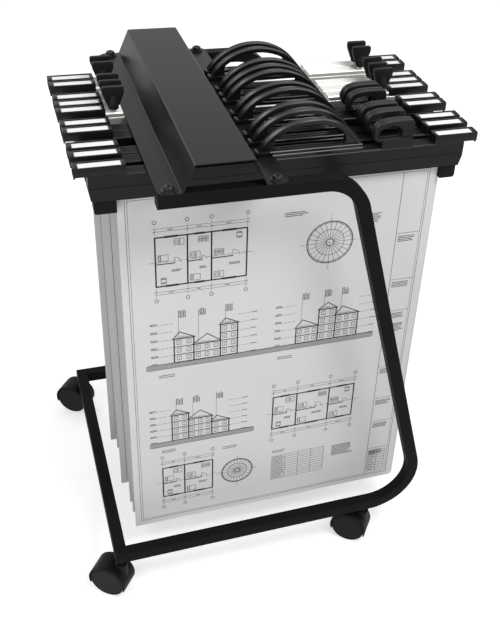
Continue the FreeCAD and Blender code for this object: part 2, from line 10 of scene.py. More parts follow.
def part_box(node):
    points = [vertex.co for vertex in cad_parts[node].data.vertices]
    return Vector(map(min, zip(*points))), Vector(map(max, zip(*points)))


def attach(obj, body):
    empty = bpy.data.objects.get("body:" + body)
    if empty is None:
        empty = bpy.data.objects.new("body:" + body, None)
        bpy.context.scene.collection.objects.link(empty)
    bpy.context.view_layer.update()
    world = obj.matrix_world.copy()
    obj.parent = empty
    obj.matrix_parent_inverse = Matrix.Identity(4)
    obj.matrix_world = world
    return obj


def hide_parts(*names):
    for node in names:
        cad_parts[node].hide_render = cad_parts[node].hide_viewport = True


bl_info = {
    "name": "Plan Hanging Rack",
    "version": (1, 0, 0),
    "blender": (4, 5, 0),
    "location": "3D View > Sidebar > Plan Rack",
    "description": "Dresses the plan hanging rack with its fittings, drawings, finishes and a plain stage",
    "category": "Add Mesh",
}

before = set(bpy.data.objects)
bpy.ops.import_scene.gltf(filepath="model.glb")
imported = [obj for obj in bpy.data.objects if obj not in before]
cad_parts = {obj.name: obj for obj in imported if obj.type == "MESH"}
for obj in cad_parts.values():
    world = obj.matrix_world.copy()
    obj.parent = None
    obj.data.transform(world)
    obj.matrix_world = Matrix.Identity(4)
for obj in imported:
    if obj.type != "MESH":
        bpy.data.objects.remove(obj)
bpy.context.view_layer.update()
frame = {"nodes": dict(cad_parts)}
NODES = frame["nodes"]

# Pieces are modelled in millimetres from the front left corner of the base, and moved to the frame's
# own origin, in metres, when they are finished.
MM = 0.001
TUBE = 25.0
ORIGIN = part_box("base_cross_rail")[0] - Vector((0.0, TUBE, 0.0)) * MM
TO_FRAME = Matrix.Translation(ORIGIN) @ Matrix.Scale(MM, 4)

BAR_TOP = 845.0
BAR_LOW = 797.0
BAR_ENDS = (13.0, 694.0)
HINGE_Y = -6.5              # the jaw's hinge line, from the binder's middle

WHITE = (1.0, 1.0, 1.0)


def in_rack(point):
    """A point of the frame, in millimetres from the base's front left corner."""
    return (point - ORIGIN) / MM


class Binder:
    """Where one binder hangs, read from the frame."""

    def __init__(self, number):
        self.tag = "%02d" % number
        self.body = "binder_" + self.tag
        self.jaw = "jaw_" + self.tag
        low, high = (in_rack(p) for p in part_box(self.body + "_spine"))
        self.y = (low.y + high.y) / 2.0
        self.has_lever = self.body + "_lever" in NODES
        self.sheet_low = in_rack(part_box(self.body + "_sheets")[0])


BINDERS = [Binder(n) for n in range(1, 11)]


# ---------------------------------------------------------------- shader building
class Value:
    """A single number on its way through a node tree; arithmetic on it adds Math nodes."""

    def __init__(self, nodes, socket):
        self.nodes = nodes
        self.socket = socket

    def _with(self, operation, first, second):
        made = self.nodes.make("ShaderNodeMath", {"operation": operation}, {0: first, 1: second})
        return Value(self.nodes, made.outputs[0])

    def __add__(self, other):
        return self._with("ADD", self, other)

    def __radd__(self, other):
        return self._with("ADD", other, self)

    def __mul__(self, other):
        return self._with("MULTIPLY", self, other)

    def __rmul__(self, other):
        return self._with("MULTIPLY", other, self)

    def at_least(self, other):
        return self._with("MAXIMUM", self, other)


class Nodes:
    """A node tree, of a material or of the world, and the way nodes are added to it."""

    def __init__(self, tree):
        self.tree = tree

    def make(self, kind, settings=None, inputs=None):
        """A node with its settings set first, and then its sockets' values or links."""
        node = self.tree.nodes.new(kind)
        for name, value in (settings or {}).items():
            setattr(node, name, value)
        for name, value in (inputs or {}).items():
            self.feed(node.inputs[name], value)
        return node

    def feed(self, socket, value):
        if isinstance(value, Value):
            value = value.socket
        if isinstance(value, bpy.types.NodeSocket):
            self.tree.links.new(value, socket)
        elif socket.type == "RGBA" and len(value) == 3:
            socket.default_value = tuple(value) + (1.0,)
        else:
            socket.default_value = value

    def sees_backdrop(self):
        """1 for the rays that meet the white backdrop: the camera's, mirrored and see-through ones."""
        path = self.make("ShaderNodeLightPath").outputs
        seen = Value(self, path["Is Camera Ray"])
        for name in ("Is Glossy Ray", "Is Transmission Ray"):
            seen = seen.at_least(path[name])
        return seen


class Finish(Nodes):
    """A material being mixed: one principled shader and the nodes that feed it."""

    def __init__(self, name, **plain):
        self.material = bpy.data.materials.new(name)
        self.material.use_nodes = True
        super().__init__(self.material.node_tree)
        self.shader = self.tree.nodes["Principled BSDF"]
        self.place = self.make("ShaderNodeTexCoord").outputs["Object"]
        for socket, value in plain.items():
            self.set(socket.replace("_", " "), value)

    def set(self, socket, value):
        self.feed(self.shader.inputs[socket], value)

    def noise(self, scale, detail, stretch=(1.0, 1.0, 1.0), roughness=0.5):
        place = self.make("ShaderNodeMapping", None, {"Vector": self.place, "Scale": stretch})
        made = self.make("ShaderNodeTexNoise", None, {
            "Vector": place.outputs[0], "Scale": scale, "Detail": detail, "Roughness": roughness})
        return Value(self, made.outputs["Fac"])

    def paint(self, colour, mask, darkest, lightest):
        """Base colour that a mask takes from a darker to a lighter tint."""
        made = self.make("ShaderNodeMix", {"data_type": "RGBA"}, {
            0: mask, 6: tint(colour, darkest), 7: tint(colour, lightest)})
        self.set("Base Color", made.outputs[2])

    def dull(self, around, *swings):
        """Roughness around a value, moved by each mask through its own range."""
        rough = around - sum(reach for _, reach in swings) / 2.0
        for mask, reach in swings:
            rough = mask * reach + rough
        self.set("Roughness", rough)

    def bump(self, height, depth, strength):
        """Relief from a mask, with its depth in millimetres."""
        made = self.make("ShaderNodeBump", None, {
            "Height": height, "Distance": depth * MM, "Strength": strength})
        self.set("Normal", made.outputs[0])


def tint(colour, factor):
    return tuple(min(1.0, c * factor) for c in colour)


# ---------------------------------------------------------------- finishes
def powder_coat(name, colour, roughness, peel, gloss=0.03):
    """Baked powder on steel: a fine orange peel, faintly uneven in gloss."""
    finish = Finish(name, Specular_IOR_Level=gloss)
    broad = finish.noise(scale=9.0, detail=3.0)
    fine = finish.noise(scale=1500.0, detail=1.0)
    finish.paint(colour, broad, darkest=0.82, lightest=1.2)
    finish.dull(roughness, (broad, 0.12), (fine, 0.08))
    finish.bump(fine, depth=peel, strength=0.35)
    return finish.material


def moulded_plastic(name, colour, roughness, gloss=0.08):
    """Injection-moulded plastic with a spark-eroded grain and a little handling shine."""
    finish = Finish(name, Specular_IOR_Level=gloss)
    handled = finish.noise(scale=38.0, detail=4.0, roughness=0.6)
    grain = finish.noise(scale=2600.0, detail=2.0)
    finish.paint(colour, handled, darkest=0.8, lightest=1.3)
    finish.dull(roughness, (handled, 0.16))
    finish.bump(grain, depth=0.05, strength=0.4)
    return finish.material


def soft_rubber(name, colour, roughness):
    """Satin rubber: dusty on top of a fine pebble."""
    finish = Finish(name, Specular_IOR_Level=0.16)
    dust = finish.noise(scale=60.0, detail=5.0, roughness=0.7)
    pebble = finish.noise(scale=1800.0, detail=2.0)
    finish.paint(colour, dust, darkest=0.75, lightest=1.45)
    finish.dull(roughness, (dust, 0.15))
    finish.bump(pebble, depth=0.06, strength=0.5)
    return finish.material


def drawn_aluminium(name, colour, roughness, metallic):
    """Extruded aluminium: long die lines along the bar under a clear or dyed anodised skin."""
    finish = Finish(name, Metallic=metallic, Specular_IOR_Level=0.2)
    lines = finish.noise(scale=700.0, detail=3.0, stretch=(0.004, 1.0, 1.0), roughness=0.65)
    cloud = finish.noise(scale=14.0, detail=2.0)
    finish.paint(colour, lines, darkest=0.8, lightest=1.12)
    finish.dull(roughness, (lines, 0.18), (cloud, 0.08))
    finish.bump(lines, depth=0.03, strength=0.5)
    return finish.material


def turned_steel(name, colour):
    """Bright zinc-plated steel."""
    finish = Finish(name, Metallic=1.0)
    bloom = finish.noise(scale=320.0, detail=3.0)
    finish.paint(colour, bloom, darkest=0.75, lightest=1.1)
    finish.dull(0.3, (bloom, 0.2))
    return finish.material


def plotter_paper(name, colour):
    """Matt drawing paper: faint fibre clouding and a barely uneven surface."""
    finish = Finish(name, Specular_IOR_Level=0.15)
    cloud = finish.noise(scale=6.0, detail=2.0)
    fibre = finish.noise(scale=900.0, detail=3.0)
    finish.paint(colour, cloud, darkest=0.965, lightest=1.03)
    finish.dull(0.83, (fibre, 0.1))
    finish.bump(fibre, depth=0.02, strength=0.3)
    return finish.material


def plotter_ink(name, colour):
    """Plotted line, broken a little by the paper's tooth."""
    finish = Finish(name, Specular_IOR_Level=0.15)
    tooth = finish.noise(scale=1100.0, detail=2.0)
    finish.paint(colour, tooth, darkest=0.8, lightest=1.35)
    finish.dull(0.75, (tooth, 0.1))
    return finish.material


def label_card(name, colour):
    """Smooth white card with a faint fibre."""
    finish = Finish(name, Specular_IOR_Level=0.2)
    fibre = finish.noise(scale=1200.0, detail=3.0)
    finish.paint(colour, fibre, darkest=0.97, lightest=1.0)
    finish.dull(0.65, (fibre, 0.1))
    return finish.material


# ---------------------------------------------------------------- mesh building
def block(bm, low, high, rounding=0.0, segments=2):
    """A box from its lowest to its highest corner with rounded edges. Returns its vertices."""
    low, high = Vector(low), Vector(high)
    made = bmesh.ops.create_cube(bm, size=1.0)["verts"]
    bmesh.ops.scale(bm, vec=high - low, verts=made)
    bmesh.ops.translate(bm, vec=(low + high) / 2.0, verts=made)
    if rounding > 0.0:
        edges = list({e for v in made for e in v.link_edges})
        made = round_edges(bm, edges, rounding, segments)
    return made


def across(bm, y, spans, rounding=0.0, segments=2):
    """A block on a bar: its spans along x, to both sides of the bar's middle at y, and along z."""
    (x0, x1), (y0, y1), (z0, z1) = spans
    return block(bm, (x0, y + y0, z0), (x1, y + y1, z1), rounding, segments)


def cylinder(bm, place, radius, depth, segments):
    """A round bar along the z of its place with slightly broken edges."""
    made = bmesh.ops.create_cone(
        bm, cap_ends=True, segments=segments, radius1=radius, radius2=radius, depth=depth,
        matrix=place)["verts"]
    rims = {e for v in made for e in v.link_edges if e.calc_face_angle(0.0) > math.radians(60.0)}
    round_edges(bm, list(rims), min(0.5, radius / 6.0))


def round_edges(bm, edges, radius, segments=2):
    rounded = bmesh.ops.bevel(
        bm, geom=edges, offset=radius, offset_type="OFFSET", affect="EDGES", segments=segments,
        profile=0.5, material=-1, clamp_overlap=True)
    return list({v for f in rounded["faces"] for v in f.verts})


def sharp_edges(bm, limit=40.0):
    angle = math.radians(limit)
    return [e for e in bm.edges if len(e.link_faces) == 2 and e.calc_face_angle(0.0) > angle]


def edges_at(verts, x, z):
    """The edges of a block that run along y at a given x and z."""
    near = 0.01
    found = {
        e for v in verts for e in v.link_edges
        if all(abs(p.co.x - x) < near and abs(p.co.z - z) < near for p in e.verts)}
    return list(found)


def loop_of(bm, points):
    """A closed ring of edges through the points."""
    verts = [bm.verts.new(p) for p in points]
    return [bm.edges.new((verts[i - 1], verts[i])) for i in range(len(verts))]


def face_of(bm, points):
    return bm.faces.new([bm.verts.new(p) for p in points])


def draw_out(bm, faces, way):
    """Draws flat faces out along a way into a closed solid."""
    grown = bmesh.ops.extrude_face_region(bm, geom=faces, use_keep_orig=True)
    moved = [g for g in grown["geom"] if isinstance(g, bmesh.types.BMVert)]
    bmesh.ops.translate(bm, vec=Vector(way), verts=moved)


def arc(middle, radius, first, last, steps):
    """Points in a plane along an arc, from one angle to another in degrees."""
    turns = [math.radians(first + (last - first) * i / steps) for i in range(steps + 1)]
    return [(middle[0] + radius * math.cos(t), middle[1] + radius * math.sin(t)) for t in turns]


def curve_through(points, steps):
    """A smooth open curve through a few points in x and z."""
    ends = [points[0]] + list(points) + [points[-1]]
    run = []
    for i in range(len(points) - 1):
        a, b, c, d = (Vector(p) for p in ends[i:i + 4])
        for s in range(steps):
            t = s / steps
            run.append(0.5 * ((2 * b) + (c - a) * t + (2 * a - 5 * b + 4 * c - d) * t * t
                              + (3 * b - a - 3 * c + d) * t * t * t))
    run.append(Vector(points[-1]))
    return run


def add(bm, part):
    """Adds one mesh in the making to another."""
    carrier = bpy.data.meshes.new("carrier")
    part.to_mesh(carrier)
    part.free()
    bm.from_mesh(carrier)
    bpy.data.meshes.remove(carrier)


def finished(name, bm, body, material, replaces=(), smooth=35.0, tidy=True):
    """Turns a mesh in rack millimetres into a piece that rides on a body."""
    if tidy:
        bmesh.ops.remove_doubles(bm, verts=bm.verts, dist=0.0005)
        bmesh.ops.recalc_face_normals(bm, faces=bm.faces)
    bm.transform(TO_FRAME)
    mesh = bpy.data.meshes.new(name)
    bm.to_mesh(mesh)
    bm.free()
    mesh.materials.append(material)
    for polygon in mesh.polygons:
        polygon.use_smooth = True
    mesh.set_sharp_from_angle(angle=math.radians(smooth))
    piece = bpy.data.objects.new(name, mesh)
    bpy.context.scene.collection.objects.link(piece)
    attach(piece, body)
    if replaces:
        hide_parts(*replaces)
    return piece


def fitting(name, bm, binder, material):
    """A plastic piece that stands in for some of a binder's fittings."""
    finished(name, bm, binder.body, material, [binder.body + "_fittings"])


def dress(node, material):
    """Gives a node of the frame its finish."""
    slots = NODES[node].material_slots
    if not slots:
        NODES[node].data.materials.append(material)
    for slot in slots:
        slot.material = material


# ---------------------------------------------------------------- settings
def length(name, description, millimetres):
    return FloatProperty(
        name=name, description=description, default=millimetres * MM, unit="LENGTH", min=0.0)


def colour(name, description, default):
    return FloatVectorProperty(
        name=name, description=description, default=default, subtype="COLOR", size=3, min=0.0, max=1.0)


class RackFinishSettings(bpy.types.PropertyGroup):
    """Colours of the rack's finishes."""
    frame: colour("Frame", "Powder coat of the tubes", (0.0085, 0.0087, 0.0098))
    cover: colour("Cover", "Powder coat of the cover channel", (0.0115, 0.0115, 0.0098))
    plastic: colour("Plastic", "Moulded fittings and castor hoods", (0.0064, 0.0064, 0.007))
    rubber: colour("Rubber", "Lever loops and paddles", (0.0085, 0.0085, 0.009))
    wheel: colour("Wheel", "Castor wheels", (0.0085, 0.009, 0.01))
    dark_bar: colour("Dark bar", "Black anodised clamp bars", (0.0045, 0.0047, 0.0052))
    pale_bar: colour("Pale bar", "Clear anodised clamp bars", (0.84, 0.835, 0.8))
    steel: colour("Steel", "Castor stems", (0.62, 0.62, 0.6))
    paper: colour("Paper", "Drawing sheets", (0.715, 0.715, 0.715))
    ink: colour("Ink", "Plotted lines", (0.03, 0.03, 0.035))
    wash: colour("Wash", "Toned bands of the drawings", (0.33, 0.33, 0.34))
    card: colour("Card", "Label cards", (0.93, 0.93, 0.93))


class RackGripSettings(bpy.types.PropertyGroup):
    """Arched grip of a binder."""
    middle_x: length("Middle", "Arch centre from the base's left end", 397.5)
    middle_z: length("Height", "Arch centre over the base's underside", 796.6)
    radius: length("Radius", "Outer radius of the arch", 113.4)
    band: length("Band", "Depth of the arch from outside to inside", 8.5)
    width: length("Width", "Width of the arch across the bar", 15.6)
    rim: length("Rim", "Width of the raised rim along each side of the arch", 2.4)


class RackTraySettings(bpy.types.PropertyGroup):
    """Label trays and their cards."""
    left: length("Left overhang", "How far the left trays stand out beyond the bar", 21.5)
    right: length("Right overhang", "How far the right trays stand out beyond the bar", 25.0)
    tray: length("Tray", "Length of a tray", 85.0)
    width: length("Width", "Width of a tray", 26.0)
    card_long: length("Card length", "Length of a label card", 70.0)
    card_wide: length("Card width", "Width of a label card", 18.0)
    margin: length("Margin", "Frame of a tray at its inner end", 6.5)


class RackSheetSettings(bpy.types.PropertyGroup):
    """The packs of drawings."""
    wide: length("Width", "Width of a sheet", 594.0)
    long: length("Length", "Length of a sheet", 841.0)
    thick: length("Thickness", "Thickness of one leaf", 0.22)
    leaves: IntProperty(name="Leaves", description="Leaves shown in each pack", default=3, min=1, max=4)


def mm(metres):
    return metres / MM


# ---------------------------------------------------------------- frame, cover and castors
class RACK_OT_frame(bpy.types.Operator):
    """Finish the side frames, cross rail, plugs, stems, cover and bolts"""
    bl_idname = "rack.frame"
    bl_label = "Frame and Cover"

    bolt_inset = 10.0                               # bolt axes, from the edges of the box round all four
    bolt_rise = 9.0                                 # bolt tops over the flange
    washer_sizes = ((13.0, 1.9), (11.0, 3.2))       # radius and thickness

    def washers(self, material):
        """A broad and a narrow washer round each of the four bolt heads."""
        low, high = (in_rack(p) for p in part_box("cover_bolts"))
        flange = high.z - self.bolt_rise
        bm = bmesh.new()
        for x in (low.x + self.bolt_inset, high.x - self.bolt_inset):
            for y in (low.y + self.bolt_inset, high.y - self.bolt_inset):
                for radius, thick in self.washer_sizes:
                    place = Matrix.Translation((x, y, flange + thick / 2.0))
                    cylinder(bm, place, radius, thick, segments=40)
        finished("cover_washers", bm, "base", material)

    def execute(self, context):
        paint = context.scene.rack_finish
        tube = powder_coat("tube_powder_coat", paint.frame, 0.42, peel=0.1)
        for node in ("front_side_frame", "rear_side_frame", "base_cross_rail"):
            dress(node, tube)
        dress("cover_channel", powder_coat("cover_powder_coat", paint.cover, 0.3, peel=0.06, gloss=0.12))
        bolt = powder_coat("bolt_black", paint.frame, 0.35, peel=0.03, gloss=0.3)
        dress("cover_bolts", bolt)
        self.washers(bolt)
        dress("tube_end_plugs", moulded_plastic("plug_plastic", paint.plastic, 0.5))
        dress("castor_stems", turned_steel("stem_steel", paint.steel))
        return {"FINISHED"}


class RACK_OT_castors(bpy.types.Operator):
    """Finish the castor hoods and wheels"""
    bl_idname = "rack.castors"
    bl_label = "Castors"

    def execute(self, context):
        paint = context.scene.rack_finish
        hood = moulded_plastic("hood_plastic", paint.plastic, 0.48)
        wheel = moulded_plastic("wheel_nylon", paint.wheel, 0.42)
        for side in ("front_left", "front_right", "rear_left", "rear_right"):
            dress("castor_hood_" + side, hood)
            dress("castor_wheels_" + side, wheel)
        return {"FINISHED"}


# ---------------------------------------------------------------- binders
class RACK_OT_bars(bpy.types.Operator):
    """Finish the clamp bars: dark on the lever binders, pale on the paddle binders"""
    bl_idname = "rack.bars"
    bl_label = "Clamp Bars"

    def execute(self, context):
        paint = context.scene.rack_finish
        dark = drawn_aluminium("dark_anodised", paint.dark_bar, 0.36, metallic=0.0)
        pale = drawn_aluminium("clear_anodised", paint.pale_bar, 0.34, metallic=0.7)
        for binder in BINDERS:
            metal = dark if binder.has_lever else pale
            dress(binder.body + "_spine", metal)
            dress(binder.body + "_jaw", metal)
        return {"FINISHED"}


class RACK_OT_grips(bpy.types.Operator):
    """Model the ten arched grips on their bases"""
    bl_idname = "rack.grips"
    bl_label = "Grips"

    arch_start = 32.3           # degrees up from the bar, at the arch's right foot
    arch_sweep = 117.7
    inner_chamfer = 1.0
    outer_chamfer = 1.3
    groove = 1.0                # depth of the outside between its two rims
    left_hole = (
        (306.0, 856.0), (333.0, 856.0), (330.0, 862.0), (329.5, 870.0), (331.5, 878.0), (335.5, 885.0))
    right_hole = (
        (487.0, 856.0), (456.0, 856.0), (460.0, 861.0), (461.5, 868.0), (459.5, 876.0), (454.5, 884.0))
    left_corner = (122.0, 146.0)    # degrees on the arch between which a web fills the corner
    right_corner = (58.0, 35.0)
    web_inset = 4.0             # a web's outer edge, inside the arch's outside
    web_thick = 12.4

    # Blocks of the base: spans along x, to both sides of the bar's middle, and along z
    hook_lip = ((298.0, 336.0), (-9.0, 9.0), (849.1, 857.9))
    lower_step = ((325.0, 494.5), (-12.0, 12.0), (BAR_TOP, 852.5))
    upper_step = ((321.0, 493.5), (-10.2, 10.2), (850.0, 858.2))
    ridges = (
        ((345.0, 452.0), (-5.0, -2.8), (857.0, 859.2)),
        ((345.0, 452.0), (2.8, 5.0), (857.0, 859.2)))

    def section(self, grip):
        """Half of the arch's cross-section: distance from the arch centre, and from its middle plane."""
        outer = mm(grip.radius)
        inner = outer - mm(grip.band)
        half = mm(grip.width) / 2.0
        flank = half - mm(grip.rim)
        low, high, floor = self.inner_chamfer, self.outer_chamfer, outer - self.groove
        return [
            (inner, 0.0), (inner, half - low), (inner + low, half), (outer - high, half),
            (outer, half - high), (outer - 0.1, flank + 0.3), (floor, flank - 0.4), (floor, 0.0)]

    def arch(self, bm, grip, y):
        side = self.section(grip)
        ring = side + [(r, -d) for r, d in reversed(side[1:-1])]
        middle = Vector((mm(grip.middle_x), y, mm(grip.middle_z)))
        start = math.radians(self.arch_start)
        along = Vector((math.cos(start), 0.0, math.sin(start)))
        face = face_of(bm, [middle + along * r + Vector((0.0, d, 0.0)) for r, d in ring])
        face.copy()             # stays behind as the cap of the first foot
        bmesh.ops.spin(
            bm, geom=[face] + list(face.edges) + list(face.verts), cent=middle, axis=(0.0, -1.0, 0.0),
            angle=math.radians(self.arch_sweep), steps=40, use_merge=False, use_duplicate=False)

    def web(self, bm, grip, y, hole, corner):
        """The solid corner between the hand hole and a foot of the arch."""
        part = bmesh.new()
        middle = (mm(grip.middle_x), mm(grip.middle_z))
        rim = arc(middle, mm(grip.radius) - self.web_inset, *corner, 6)
        face = face_of(part, [(x, y - self.web_thick / 2.0, z) for x, z in list(hole) + rim])
        draw_out(part, [face], (0.0, self.web_thick, 0.0))
        bmesh.ops.recalc_face_normals(part, faces=part.faces)
        round_edges(part, sharp_edges(part, 60.0), 1.0, 3)
        add(bm, part)

    def base(self, bm, y):
        """Hook lip over the cover's flange and the stepped base on the bar."""
        across(bm, y, self.hook_lip, 1.2)
        across(bm, y, self.lower_step, 1.3, 1)
        across(bm, y, self.upper_step, 1.3, 1)
        for ridge in self.ridges:
            across(bm, y, ridge, 0.5)

    def execute(self, context):
        grip = context.scene.rack_grip
        plastic = moulded_plastic("grip_plastic", context.scene.rack_finish.plastic, 0.24, gloss=0.26)
        for binder in BINDERS:
            bm = bmesh.new()
            self.arch(bm, grip, binder.y)
            self.web(bm, grip, binder.y, self.left_hole, self.left_corner)
            self.web(bm, grip, binder.y, self.right_hole, self.right_corner)
            self.base(bm, binder.y)
            fitting("grip_" + binder.tag, bm, binder, plastic)
        return {"FINISHED"}


class RACK_OT_trays(bpy.types.Operator):
    """Model the label trays at both ends of each bar, with their cards"""
    bl_idname = "rack.trays"
    bl_label = "Label Trays"

    frame_height = (BAR_TOP, 861.0)
    floor_height = (855.4, 858.6)
    card_height = (858.5, 859.4)
    lip_height = (841.0, 862.0)
    lip_sides = (-11.0, 11.0)
    lip_thick = 3.0
    floor_inset = (0.4, 0.6)        # along and across the bar
    end_inset = 0.5                 # the frame's ends, in from its side rails

    def tray(self, bm, sizes, inner, way, y):
        """A framed tray whose closed end is at inner and whose lipped end lies the given way."""
        outer = inner + way * mm(sizes.tray)
        low, high = sorted((inner, outer))
        half = mm(sizes.width) / 2.0
        start = inner + way * mm(sizes.margin)
        card = sorted((start, start + way * mm(sizes.card_long)))
        rail = half - mm(sizes.card_wide) / 2.0
        dx, dy = self.floor_inset
        across(bm, y, ((low + dx, high - dx), (dy - half, half - dy), self.floor_height), 0.4)
        for sides in ((-half, rail - half), (half - rail, half)):
            across(bm, y, ((low, high), sides, self.frame_height), 0.7)
        sides = (self.end_inset - half, half - self.end_inset)
        for end in ((low, card[0]), (card[1], high)):
            across(bm, y, (end, sides, self.frame_height), 0.7)
        lip = sorted((outer, outer - way * self.lip_thick))
        across(bm, y, (lip, self.lip_sides, self.lip_height), 1.0)
        return card

    def execute(self, context):
        paint = context.scene.rack_finish
        sizes = context.scene.rack_tray
        plastic = moulded_plastic("tray_plastic", paint.plastic, 0.36, gloss=0.2)
        paper = label_card("label_card", paint.card)
        long, half = mm(sizes.tray), mm(sizes.card_wide) / 2.0
        ends = (
            ("_left", BAR_ENDS[0] - mm(sizes.left) + long, -1.0),
            ("_right", BAR_ENDS[1] + mm(sizes.right) - long, 1.0))
        for binder in BINDERS:
            for side, inner, way in ends:
                bm = bmesh.new()
                card = self.tray(bm, sizes, inner, way, binder.y)
                fitting("label_tray_" + binder.tag + side, bm, binder, plastic)
                bm = bmesh.new()
                across(bm, binder.y, (card, (-half, half), self.card_height), 0.15, 1)
                finished("label_card_" + binder.tag + side, bm, binder.body, paper)
        return {"FINISHED"}


class RACK_OT_edge_stops(bpy.types.Operator):
    """Model the blocks under the bar's ends and the skid under the cover"""
    bl_idname = "rack.edge_stops"
    bl_label = "Edge Stops"

    left_end = 20.0
    right_span = (654.5, 685.0)
    paper_gap = 0.5                 # between the left block and the sheets
    block_sides = (-11.0, 12.0)
    block_height = (772.0, 796.2)
    neck_sides = (1.5, 11.5)
    neck_height = (795.0, BAR_LOW)
    neck_inset = 2.0
    skid = ((118.0, 142.0), (-6.0, 6.0), (BAR_TOP, 846.95))

    def stop(self, bm, low_x, high_x, outer_x, y):
        """A block with its lower outer corner rounded, on a neck up to the bar."""
        made = across(bm, y, ((low_x, high_x), self.block_sides, self.block_height))
        round_edges(bm, edges_at(made, outer_x, self.block_height[0]), 5.0, 4)
        round_edges(bm, sharp_edges(bm), 0.7)
        neck = (low_x + self.neck_inset, high_x - self.neck_inset)
        across(bm, y, (neck, self.neck_sides, self.neck_height))

    def execute(self, context):
        plastic = moulded_plastic("stop_plastic", context.scene.rack_finish.plastic, 0.5)
        for binder in BINDERS:
            spans = (
                ("_left", self.left_end, binder.sheet_low.x - self.paper_gap, self.left_end),
                ("_right", *self.right_span, self.right_span[1]))
            for side, low_x, high_x, outer_x in spans:
                bm = bmesh.new()
                self.stop(bm, low_x, high_x, outer_x, binder.y)
                fitting("edge_stop_" + binder.tag + side, bm, binder, plastic)
            bm = bmesh.new()
            across(bm, binder.y, self.skid, 0.5)
            fitting("skid_" + binder.tag, bm, binder, plastic)
        return {"FINISHED"}


class RACK_OT_levers(bpy.types.Operator):
    """Model the looped levers of the front five binders and the housings they turn in"""
    bl_idname = "rack.levers"
    bl_label = "Lever Loops"

    pivot = (584.0, 852.0)
    hub = (5.8, 19.0)               # radius and length
    pin = (2.0, 24.4)
    outside = (
        (517.5, 859.0), (514.0, 868.0), (515.5, 879.0), (523.0, 889.0), (538.0, 895.0), (560.0, 896.0),
        (580.0, 895.5), (588.5, 893.0), (591.0, 885.0), (590.5, 870.0), (589.0, 858.0))
    foot = ((589.0, 856.3), (525.0, 856.3))     # straight underside that closes the outside
    inside = (
        (527.0, 862.0), (522.5, 869.0), (526.0, 877.5), (538.0, 884.5), (556.0, 884.5), (567.5, 876.0),
        (566.5, 863.0))
    heart = (556.0, 874.0)          # point in the hole that the core's edges sink towards or away from
    straps = (                      # from and to across the bar, inset and rounding
        (-9.5, -0.7, 0.0, 1.5), (-4.0, 4.0, 1.1, 0.3), (0.7, 9.5, 0.0, 1.5))
    housing_floor = ((531.0, 573.0), (-11.0, 11.0), (BAR_TOP, 855.8))
    cheek_sides = ((-12.3, -9.8), (9.8, 12.3))
    cheek_span = (530.0, 591.0)
    cheek_height = (BAR_TOP, 863.0)

    def loop(self, bm, y):
        """Two straps side by side on a sunken core, with the hub and pin that they turn on."""
        outside = curve_through(self.outside, 6) + [Vector(p) for p in self.foot]
        inside = curve_through(self.inside, 6)
        heart = Vector(self.heart)
        for y0, y1, inset, rounding in self.straps:
            part = bmesh.new()
            edges = []
            for run, way in ((outside, -inset), (inside, inset)):
                moved = [p + (p - heart).normalized() * way for p in run]
                edges += loop_of(part, [(p.x, y + y0, p.y) for p in moved])
            bmesh.ops.bridge_loops(part, edges=edges)
            draw_out(part, list(part.faces), (0.0, y1 - y0, 0.0))
            bmesh.ops.recalc_face_normals(part, faces=part.faces)
            round_edges(part, sharp_edges(part, 60.0), rounding, 1)
            add(bm, part)
        turn = Matrix.Rotation(math.radians(90.0), 4, "X")
        place = Matrix.Translation((self.pivot[0], y, self.pivot[1])) @ turn
        for radius, long in (self.hub, self.pin):
            cylinder(bm, place, radius, long, segments=32)

    def housing(self, bm, y):
        across(bm, y, self.housing_floor, 0.6)
        for sides in self.cheek_sides:
            made = across(bm, y, (self.cheek_span, sides, self.cheek_height))
            round_edges(bm, edges_at(made, self.cheek_span[1], self.cheek_height[1]), 8.0, 5)
        round_edges(bm, sharp_edges(bm), 0.4, 1)

    def execute(self, context):
        paint = context.scene.rack_finish
        rubber = soft_rubber("lever_rubber", paint.rubber, 0.355)
        plastic = moulded_plastic("housing_plastic", paint.plastic, 0.36, gloss=0.2)
        for binder in BINDERS:
            if not binder.has_lever:
                continue
            bm = bmesh.new()
            self.loop(bm, binder.y)
            name = "lever_loop_" + binder.tag
            finished(name, bm, "lever_" + binder.tag, rubber, [binder.body + "_lever"])
            bm = bmesh.new()
            self.housing(bm, binder.y)
            fitting("lever_housing_" + binder.tag, bm, binder, plastic)
        return {"FINISHED"}


